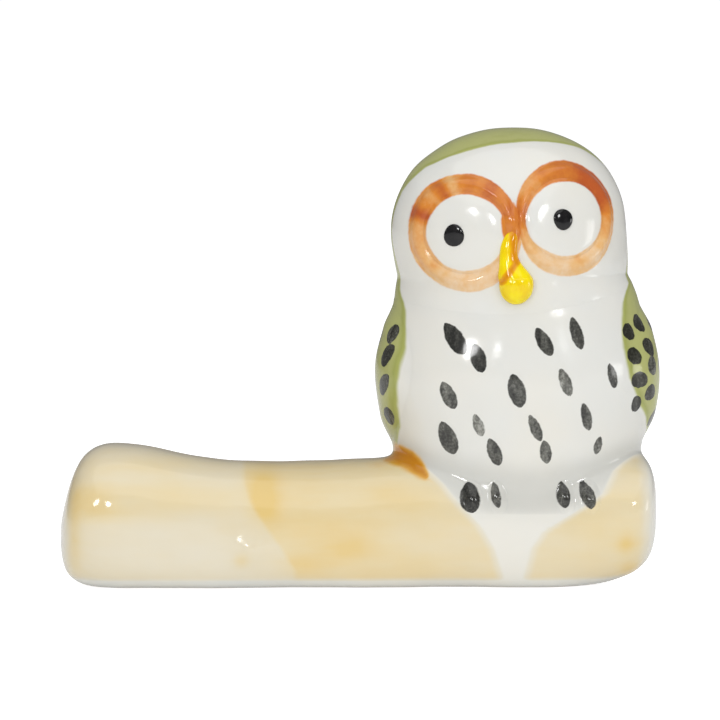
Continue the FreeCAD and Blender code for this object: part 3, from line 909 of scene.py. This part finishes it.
# %% Fields of the rust and of the beak's orange
RUST_PATCHES = {  # side: angle from the top, half-width in degrees, strength
    -1: [(-62, 9, 0.50), (-42, 7, 0.22), (-20, 7, 0.26), (14, 13, 0.22), (38, 12, 0.30),
         (70, 22, 0.38), (-95, 24, 0.12), (-128, 12, 0.12)],
    1: [(2, 22, 0.24), (42, 24, 0.55), (75, 18, 0.45), (-24, 12, 0.10), (110, 20, 0.14),
        (-80, 24, 0.40), (172, 9, 0.16)],
}


def rust_field(p):
    """Cover, 0.5 on the edge of the painted band, and load, higher where the brush was full."""
    q = to_head(p)
    cover, load = np.zeros(len(p)), np.zeros(len(p))
    for side, (middle_x, middle_z) in EYES.items():
        u, v = q[:, 0] - middle_x, q[:, 2] - middle_z
        half_u, half_v = HOOP_HALF[side]
        around = np.arctan2(u / half_u, v / half_v)
        off = np.hypot(u, v) * (1 - 1 / np.maximum(np.hypot(u / half_u, v / half_v), 1e-3))
        thin = np.maximum(-side * np.sin(around), 0) ** 4 * (0.28 if side > 0 else 0.0)
        wide = 0.72 + 0.24 * np.cos(around) ** 2 - thin
        ring = np.clip(0.5 + (wide + 0.03 * np.sin(5 * around + side) - np.abs(off)) / 0.8, 0, 1)
        full = 0.34 + 0.14 * np.cos(around)
        bars = np.sin(np.degrees(around) / 5.2) * (side < 0)
        full = full + 0.13 * bars * np.exp(-(((np.degrees(around) + 25) / 40) ** 2))
        for centre, spread, strength in RUST_PATCHES[side]:
            lag = (np.degrees(around) - centre + 180) % 360 - 180
            full = full + strength * np.exp(-((lag / spread) ** 2))
        load = np.where(ring > cover, full, load)
        cover = np.maximum(cover, ring)
    slant = (q[:, 0] + 0.86 + 0.12 * (1.5 - q[:, 2]) * 0.5) / 0.95
    saddle = 1 - np.hypot(slant, (q[:, 2] - 0.7) / 2.2)
    saddle = np.clip(0.5 + saddle * 1.1, 0, 1)
    load = np.where(saddle > cover, 0.66, np.maximum(load, 0.66 * fade(saddle, 0.4, 0.7)))
    cover = np.maximum(cover, saddle)
    face = (q[:, 1] < 0) & (q[:, 2] > -7)
    return cover * face, np.clip(load, 0, 1)


def ridge_field(p):
    """Orange along the beak's ridge, and one stroke across it from upper right to lower left."""
    q = to_head(p)
    ridge = 1 - np.abs(q[:, 0] + 1.0 - 0.1 * (q[:, 2] + 1)) / 0.75
    ridge = ridge * fade(q[:, 2], -3.6, -2.2)
    along = ((q[:, 0] + 0.65) * -0.69 + (q[:, 2] + 2.5) * -0.72) / 2.9
    aside = (q[:, 0] + 0.65) * 0.72 - (q[:, 2] + 2.5) * 0.69
    slash = (1 - np.abs(aside + 0.1) / 0.6) * (1 - fade(along, 0.85, 1.15)) * fade(along, -0.6, 0)
    return np.clip(np.maximum(ridge, slash), 0, 1)


# %% [markdown]
# All fields are stored on the points of every piece, and the finishes read them by name.

# %% Store the fields on the pieces
CLEAR_OF_HEAD = 0.9  # the strokes stop this far below the head
POOL_AND_SHADE_REACH, POOL_AND_SHADE_TOP = 2.4, 16  # the greyer glass round the seat, partly pooled glaze and partly painted shade of the crease, and how high it goes
FOOT_EDGE = (0.02, 0.22)  # heights between which the wiped foot ends


def store(piece, name, values):
    field = piece.data.attributes.new(name, "FLOAT", "POINT")
    field.data.foreach_set("value", np.asarray(values, np.float32))


def paint(piece):
    """Measure every field at every point of a piece, in millimetres."""
    p = np.empty(3 * len(piece.data.vertices))
    piece.data.vertices.foreach_get("co", p)
    p = p.reshape(-1, 3) / MM
    strokes = BREAST_STROKES + TOE_STROKES + WING_STROKES + BACK_STROKES
    below_head = head_distance(p) > CLEAR_OF_HEAD
    ink, grey = stroke_field(p, strokes)
    rust, load = rust_field(p)
    store(piece, "ink", ink * below_head)
    store(piece, "grey", grey)
    store(piece, "green", green_field(p))
    store(piece, "wash", wash_field(p))
    store(piece, "dab", dab_field(p))
    store(piece, "rust", rust)
    store(piece, "load", load)
    store(piece, "ridge", ridge_field(p))
    # greyer near the seat's crease: glaze pooled there, and painted shade where the belly turns down
    # over the log
    glaze_pool_and_shade = np.abs(body_distance(p) - log_distance(p)) + 0.6 * np.maximum(-glaze_skin(p), 0)
    store(piece, "glaze_pool_and_shade", np.exp(-((glaze_pool_and_shade / POOL_AND_SHADE_REACH) ** 2)) * (p[:, 2] < POOL_AND_SHADE_TOP))
    store(piece, "bare", 1 - fade(p[:, 2], *FOOT_EDGE))


for piece in piece_list:
    paint(piece)
print("fields stored on", len(piece_list), "pieces")

# %% [markdown]
# ## Finishes
# Underglaze colour is never even: it streaks along the brush and its edge wanders.  So each
# field is nudged by a noise before it is turned into an edge or a shade.  A few short helpers
# keep the node trees readable; every pattern is measured in millimetres of the piece itself.

# %% Helpers for node trees


def chart(red, green, blue):
    """A colour as read on a paint chart, 0 to 255, made linear by a power of 2.2."""
    return tuple((c / 255) ** 2.2 for c in (red, green, blue)) + (1.0,)


class Glaze:
    """One material while it is being mixed: a tree, and wires between its nodes."""

    def __init__(self, name):
        self.material = bpy.data.materials.new(name)
        self.material.use_nodes = True
        self.tree = self.material.node_tree
        self.shader = self.tree.nodes["Principled BSDF"]
        self.place = self.tree.nodes.new("ShaderNodeTexCoord").outputs["Object"]

    def join(self, source, socket):
        """Wire a node's output to a socket, or type a plain number or colour into it."""
        if isinstance(source, bpy.types.NodeSocket):
            self.tree.links.new(source, socket)
        else:
            socket.default_value = source

    def field(self, name):
        node = self.tree.nodes.new("ShaderNodeAttribute")
        node.attribute_name = name
        return node.outputs["Fac"]

    def noise(self, per_mm, detail=2.0, stretch=(1, 1, 1)):
        """Noise with so many swells per millimetre, drawn out along an axis by a small stretch."""
        scaled = self.tree.nodes.new("ShaderNodeMapping")
        self.join(self.place, scaled.inputs["Vector"])
        scaled.inputs["Scale"].default_value = tuple(s * per_mm / MM for s in stretch)
        node = self.tree.nodes.new("ShaderNodeTexNoise")
        self.join(scaled.outputs["Vector"], node.inputs["Vector"])
        node.inputs["Scale"].default_value = 1.0
        node.inputs["Detail"].default_value = detail
        return node.outputs["Fac"]

    def sum(self, a, b, operation="ADD", c=0.0):
        node = self.tree.nodes.new("ShaderNodeMath")
        node.operation = operation
        for value, socket in zip((a, b, c), node.inputs):
            self.join(value, socket)
        return node.outputs[0]

    def nudge(self, value, noise, amount):
        """Value plus amount times (noise - 0.5)."""
        return self.sum(noise, amount, "MULTIPLY_ADD", self.sum(value, -amount / 2))

    def reach(self, value, low, high, to_low=0.0, to_high=1.0):
        """Soft step from one range to another."""
        node = self.tree.nodes.new("ShaderNodeMapRange")
        node.interpolation_type = "SMOOTHSTEP"
        for socket, number in zip(node.inputs, (value, low, high, to_low, to_high)):
            self.join(number, socket)
        return node.outputs["Result"]

    def shades(self, value, *stops):
        """Colour ramp through stops of (position, colour)."""
        node = self.tree.nodes.new("ShaderNodeValToRGB")
        self.join(value, node.inputs["Fac"])
        ramp = node.color_ramp.elements
        while len(ramp) < len(stops):
            ramp.new(0.5)
        for element, (position, colour) in zip(ramp, stops):
            element.position, element.color = position, colour
        return node.outputs["Color"]

    def over(self, below, above, cover):
        """Lay one colour over another where cover is 1."""
        node = self.tree.nodes.new("ShaderNodeMix")
        node.data_type = "RGBA"
        self.join(cover, node.inputs["Factor"])
        self.join(below, node.inputs[6])
        self.join(above, node.inputs[7])
        return node.outputs[2]


# %% [markdown]
# ## The layers of paint
# From the clay outwards: white clay that is a touch warmer in places, the ochre wash, the green,
# the brown dab, the rust, and the dark strokes.  Each layer takes the colour below it and gives
# back the colour with its own paint on top.

# %% Paint layers


def clay_layer(g):
    """White clay, with greyer glass in the seat's crease: partly glaze pooled there, partly painted
    shade of the crease.
    """
    clay = g.shades(g.noise(0.11), (0.35, chart(224, 224, 219)), (0.65, chart(227, 225, 217)))
    # painted shade: the crease round the seat is greyed, as well as tinted by the glaze pooled there
    pool_and_shade_amount = g.nudge(g.field("glaze_pool_and_shade"), g.noise(0.5, 3), 0.2)
    return g.over(clay, chart(196, 196, 190), g.reach(pool_and_shade_amount, 0.1, 1.0, 0.0, 0.75))


def wash_layer(g, below):
    """Cream to ochre by load, streaked along the log."""
    streaks = g.noise(0.55, 3, (0.22, 1, 1))
    load = g.nudge(g.nudge(g.field("wash"), streaks, 0.22), g.noise(0.25, 2), 0.14)
    colour = g.shades(
        load, (0.10, chart(224, 220, 207)), (0.40, chart(223, 213, 188)),
        (0.62, chart(224, 207, 166)), (0.90, chart(224, 195, 128)),
    )
    return g.over(below, colour, g.reach(g.field("wash"), 0.04, 0.22))


def green_layer(g, below):
    """Olive green: pale and thin at the very edge, darkest just inside it, lighter further in."""
    streaks = g.noise(0.8, 3, (1, 1, 0.35))
    spread = g.nudge(g.nudge(g.field("green"), streaks, 0.16), g.noise(0.3), 0.22)
    colour = g.shades(
        g.nudge(spread, g.noise(0.45, 3, (1, 1, 0.5)), 0.5),
        (0.30, chart(190, 192, 136)), (0.50, chart(170, 175, 94)),
        (0.70, chart(156, 161, 84)), (0.95, chart(172, 175, 106)),
    )
    return g.over(below, colour, g.reach(spread, 0.37, 0.60, 0.0, 0.96))


def dab_layer(g, below):
    brown = g.nudge(g.field("dab"), g.noise(0.9, 3), 0.3)
    colour = g.shades(
        brown, (0.2, chart(232, 196, 126)), (0.55, chart(218, 164, 64)), (0.95, chart(196, 128, 22)),
    )
    return g.over(below, colour, g.reach(brown, 0.12, 0.7))


def rust_layer(g, below):
    """Peach where thin, rust where the brush was full, with short overlaps across the band."""
    load = g.nudge(g.nudge(g.field("load"), g.noise(0.9, 3), 0.36), g.noise(2.6, 2), 0.16)
    colour = g.shades(
        load, (0.10, chart(233, 204, 168)), (0.34, chart(229, 178, 114)),
        (0.60, chart(216, 130, 38)), (0.95, chart(184, 82, 8)),
    )
    edge = g.nudge(g.field("rust"), g.noise(1.3, 3), 0.22)
    return g.over(below, colour, g.reach(edge, 0.38, 0.60, 0.0, 0.97))


def ink_layer(g, below):
    """Near-black to grey strokes with dry streaks and a slightly ragged edge."""
    edge = g.nudge(g.field("ink"), g.noise(2.2, 3), 0.26)
    streaks = g.noise(1.5, 3, (1, 1, 0.4))
    shade = g.nudge(g.nudge(g.field("grey"), streaks, 1.3), g.noise(4.5, 3), 1.0)
    colour = g.shades(
        shade, (0.0, chart(32, 32, 30)), (0.35, chart(66, 66, 62)),
        (0.7, chart(108, 108, 102)), (1.0, chart(158, 158, 151)),
    )
    return g.over(below, colour, g.reach(edge, 0.42, 0.58, 0.0, 0.98))


# %% [markdown]
# ## The clear glaze
# Over the paint lies one clear coat of glass.  It is almost smooth, with a faint orange peel and
# slower waves that bend the lamps' reflections, and it is a little duller where it lies thin.

# %% Glaze on top


def glaze_over(g, colour, rough=(0.07, 0.15)):
    """Finish a material: colour below, gloss and fine relief above."""
    shader = g.shader.inputs
    g.join(colour, shader["Base Color"])
    g.join(g.reach(g.noise(0.35, 4), 0.3, 0.7, *rough), shader["Roughness"])
    shader["IOR"].default_value = 1.48
    shader["Subsurface Weight"].default_value = 0.08
    shader["Subsurface Radius"].default_value = (1.0, 0.85, 0.7)
    shader["Subsurface Scale"].default_value = 0.0007
    peel = g.tree.nodes.new("ShaderNodeBump")
    waves = g.tree.nodes.new("ShaderNodeBump")
    for bump, height, distance in ((waves, g.noise(0.16), 9e-5), (peel, g.noise(0.9, 3), 8e-6)):
        bump.inputs["Strength"].default_value = 1.0
        bump.inputs["Distance"].default_value = distance
        g.join(height, bump.inputs["Height"])
    g.join(waves.outputs["Normal"], peel.inputs["Normal"])
    g.join(peel.outputs["Normal"], shader["Normal"])
    return g.material


def painted(name):
    """White clay with every paint layer, under the glaze."""
    g = Glaze(name)
    colour = clay_layer(g)
    for layer in (wash_layer, green_layer, dab_layer, rust_layer, ink_layer):
        colour = layer(g, colour)
    return glaze_over(g, colour)


# %% [markdown]
# The log's foot was wiped clean before firing, so that it would not stick to the kiln shelf.  It
# shows bare clay, matt and a little grey, and its material swaps the glaze for that below.


# %% The log's finish with its bare foot


def log_finish():
    g = Glaze("washed_glaze")
    colour = clay_layer(g)
    for layer in (wash_layer, green_layer, dab_layer, ink_layer):
        colour = layer(g, colour)
    bare = g.nudge(g.field("bare"), g.noise(0.7, 3), 0.3)
    clay = g.shades(g.noise(1.5, 4), (0.3, chart(205, 198, 186)), (0.7, chart(222, 216, 206)))
    bare = g.reach(bare, 0.45, 0.6)
    material = glaze_over(g, g.over(colour, clay, bare))
    gloss = g.shader.inputs["Roughness"].links[0].from_socket
    g.join(g.sum(bare, 0.5, "MULTIPLY_ADD", gloss), g.shader.inputs["Roughness"])
    return material


def beak_finish():
    """Yellow with an orange ridge, thin at the top where the rust shows through."""
    g = Glaze("beak_yellow_glaze")
    yellow = g.shades(
        g.noise(0.8, 3), (0.35, chart(240, 206, 6)), (0.65, chart(248, 226, 10)),
    )
    ridge = g.nudge(g.field("ridge"), g.noise(1.6, 3), 0.4)
    orange = g.shades(ridge, (0.3, chart(240, 180, 12)), (0.9, chart(214, 132, 14)))
    return glaze_over(g, g.over(yellow, orange, g.reach(ridge, 0.25, 0.62, 0.0, 0.95)))


def pupil_finish():
    g = Glaze("pupil_black_glaze")
    black = g.shades(g.noise(1.8, 3), (0.3, chart(16, 16, 18)), (0.7, chart(34, 33, 34)))
    return glaze_over(g, black, (0.04, 0.09))


FINISHES = {
    "log_wash": log_finish(),
    "white_glaze": painted("white_clay_glaze"),
    "wing_green": painted("green_wing_glaze"),
    "rim_orange": painted("rust_hoop_glaze"),
    "eye_white": painted("eye_white_glaze"),
    "pupil_black": pupil_finish(),
    "beak_yellow": beak_finish(),
    "claw_glaze": painted("toe_glaze"),
}
print(len(FINISHES), "finishes mixed")

# %% [markdown]
# ## The table and the lights
# A pale round floor and an even room, as in a small studio.  Three soft suns shine from the
# front, a wide panel hangs overhead and a small one stands at the side.

# %% Floor, room, lamps
FLOOR_SEEN, FLOOR_GLOW = 0.65, 0.15  # extra light of the floor to the camera, and its own
ROOM_LIGHT, ROOM_SEEN, ROOM_MIRRORED = 0.37, 1.04, 0.22


def add_for_ray(tree, ray, amount, rest):
    """Rest, which is a number or a socket, plus an amount for one kind of ray only."""
    rays = tree.nodes.new("ShaderNodeLightPath").outputs
    node = tree.nodes.new("ShaderNodeMath")
    node.operation = "MULTIPLY_ADD"
    tree.links.new(rays[ray], node.inputs[0])
    node.inputs[1].default_value = amount
    if isinstance(rest, bpy.types.NodeSocket):
        tree.links.new(rest, node.inputs[2])
    else:
        node.inputs[2].default_value = rest
    return node.outputs[0]


def make_floor():
    """A wide disc of rings, level with the log's underside."""
    reach = np.geomspace(0.02, 4.0, 40)[:, None] / MM
    turn = np.linspace(0, 2 * np.pi, 96, endpoint=False)[None, :]
    points = np.stack(np.broadcast_arrays(reach * np.sin(turn), reach * np.cos(turn), 0.0), -1)
    rings = np.concatenate([points, points[::-1] - (0, 0, 5.0)])
    floor = weave("studio_floor", rings)
    piece_list.remove(floor)
    floor.data.materials.append(bpy.data.materials.new("pale_table"))
    finish = floor.data.materials[0]
    finish.use_nodes = True
    shader = finish.node_tree.nodes["Principled BSDF"]
    shader.inputs["Base Color"].default_value = (0.92, 0.92, 0.92, 1)
    shader.inputs["Roughness"].default_value = 0.6
    shader.inputs["Specular IOR Level"].default_value = 0.1
    shader.inputs["Emission Color"].default_value = (1, 1, 1, 1)
    glow = add_for_ray(finish.node_tree, "Is Camera Ray", FLOOR_SEEN, FLOOR_GLOW)
    finish.node_tree.links.new(glow, shader.inputs["Emission Strength"])


make_floor()
room = bpy.data.worlds.new("studio_room")
bpy.context.scene.world = room
room.use_nodes = True
walls = room.node_tree.nodes["Background"].inputs
walls["Color"].default_value = (1.0, 1.0, 1.0, 1)
seen = add_for_ray(room.node_tree, "Is Camera Ray", ROOM_SEEN - ROOM_LIGHT, ROOM_LIGHT)
mirrored = add_for_ray(room.node_tree, "Is Glossy Ray", ROOM_MIRRORED - ROOM_LIGHT, seen)
room.node_tree.links.new(mirrored, walls["Strength"])
LAMP_AWAY, LAMP_AIM = 0.5, 25  # metres from the owl, and the height they look at


def towards(turn, rise):
    """Unit direction at a turn from the front and a rise above the table, in degrees."""
    turn, rise = math.radians(turn), math.radians(rise)
    level = math.cos(rise)
    return Vector((math.sin(turn) * level, -math.cos(turn) * level, math.sin(rise)))


def lamp(name, kind, turn, rise, power, spread):
    """A soft lamp that looks at the owl from a turn and a rise; spread is its seen size."""
    light = bpy.data.lights.new(name, kind)
    light.energy = power
    holder = bpy.data.objects.new(name, light)
    bpy.context.scene.collection.objects.link(holder)
    holder.location = Vector((BODY_X, BODY_Y, LAMP_AIM)) * MM + towards(turn, rise) * LAMP_AWAY
    holder.rotation_euler = (-towards(turn, rise)).to_track_quat("-Z", "Y").to_euler()
    if kind == "SUN":
        light.angle = math.radians(spread)
    else:
        light.shape, light.size, light.size_y = "RECTANGLE", *spread


lamp("left_lamp", "SUN", -30, 15, 0.32, 8)
lamp("middle_lamp", "SUN", -12, 13, 0.29, 7)
lamp("right_lamp", "SUN", 31, 15, 0.28, 8)
lamp("roof_panel", "AREA", 0, 66, 1.9, (0.8, 0.8))
lamp("side_panel", "AREA", 76, -2, 0.24, (0.13, 0.14))

# %% [markdown]
# ## The camera
# A long lens, a little left of centre and a little above, aimed at the middle of the figurine.

# %% Camera
camera_data = bpy.data.cameras.new("camera")
camera = bpy.data.objects.new("camera", camera_data)
bpy.context.scene.collection.objects.link(camera)
bpy.context.scene.camera = camera
VIEW_AWAY, VIEW_WIDE = 0.42, 67.9 * MM  # metres to the owl, and across the frame there
SENSOR = 36
camera_data.sensor_width = SENSOR
camera_data.lens = SENSOR * VIEW_AWAY / VIEW_WIDE
camera_data.clip_start, camera_data.clip_end = 0.01, 20
view_turn, view_rise = math.radians(-2), math.radians(3)
aim = Vector((-0.1, 0.0, 21.1)) * MM
back = Vector((
    math.sin(view_turn) * math.cos(view_rise),
    -math.cos(view_turn) * math.cos(view_rise),
    math.sin(view_rise),
))
camera.location = aim + back * VIEW_AWAY
camera.rotation_euler = (-back).to_track_quat("-Z", "Y").to_euler()
bpy.context.scene.view_settings.view_transform = "Standard"

# %% [markdown]
# ## Hand over
# Every piece rides on the one body and stands for its plain solid.

# %% Ride, replace and give each piece its finish
STANDS_FOR = {
    "log_clay": ("log", "log_wash"),
    "head_clay": ("owl_head", "white_glaze"),
    "body_clay": ("owl_body", "white_glaze"),
    "wing_inner_leaf": ("wing_inner", "wing_green"),
    "wing_outer_leaf": ("wing_outer", "wing_green"),
    "eye_hoop_inner": ("eye_rim_inner", "rim_orange"),
    "eye_hoop_outer": ("eye_rim_outer", "rim_orange"),
    "eye_dome_inner": ("eye_disc_inner", "eye_white"),
    "eye_dome_outer": ("eye_disc_outer", "eye_white"),
    "pupil_drop_inner": ("pupil_inner", "pupil_black"),
    "pupil_drop_outer": ("pupil_outer", "pupil_black"),
    "brow_saddle": ("brow_bridge", "rim_orange"),
    "beak_drop": ("beak", "beak_yellow"),
    "toes_inner": ("foot_inner", "claw_glaze"),
    "toes_outer": ("foot_outer", "claw_glaze"),
}
for piece in piece_list:
    node, slot_name = STANDS_FOR[piece.name]
    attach(piece, "root")
    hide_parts(node)
    piece.data.materials.append(FINISHES[slot_name])
print(len(piece_list), "pieces ride on the root body")
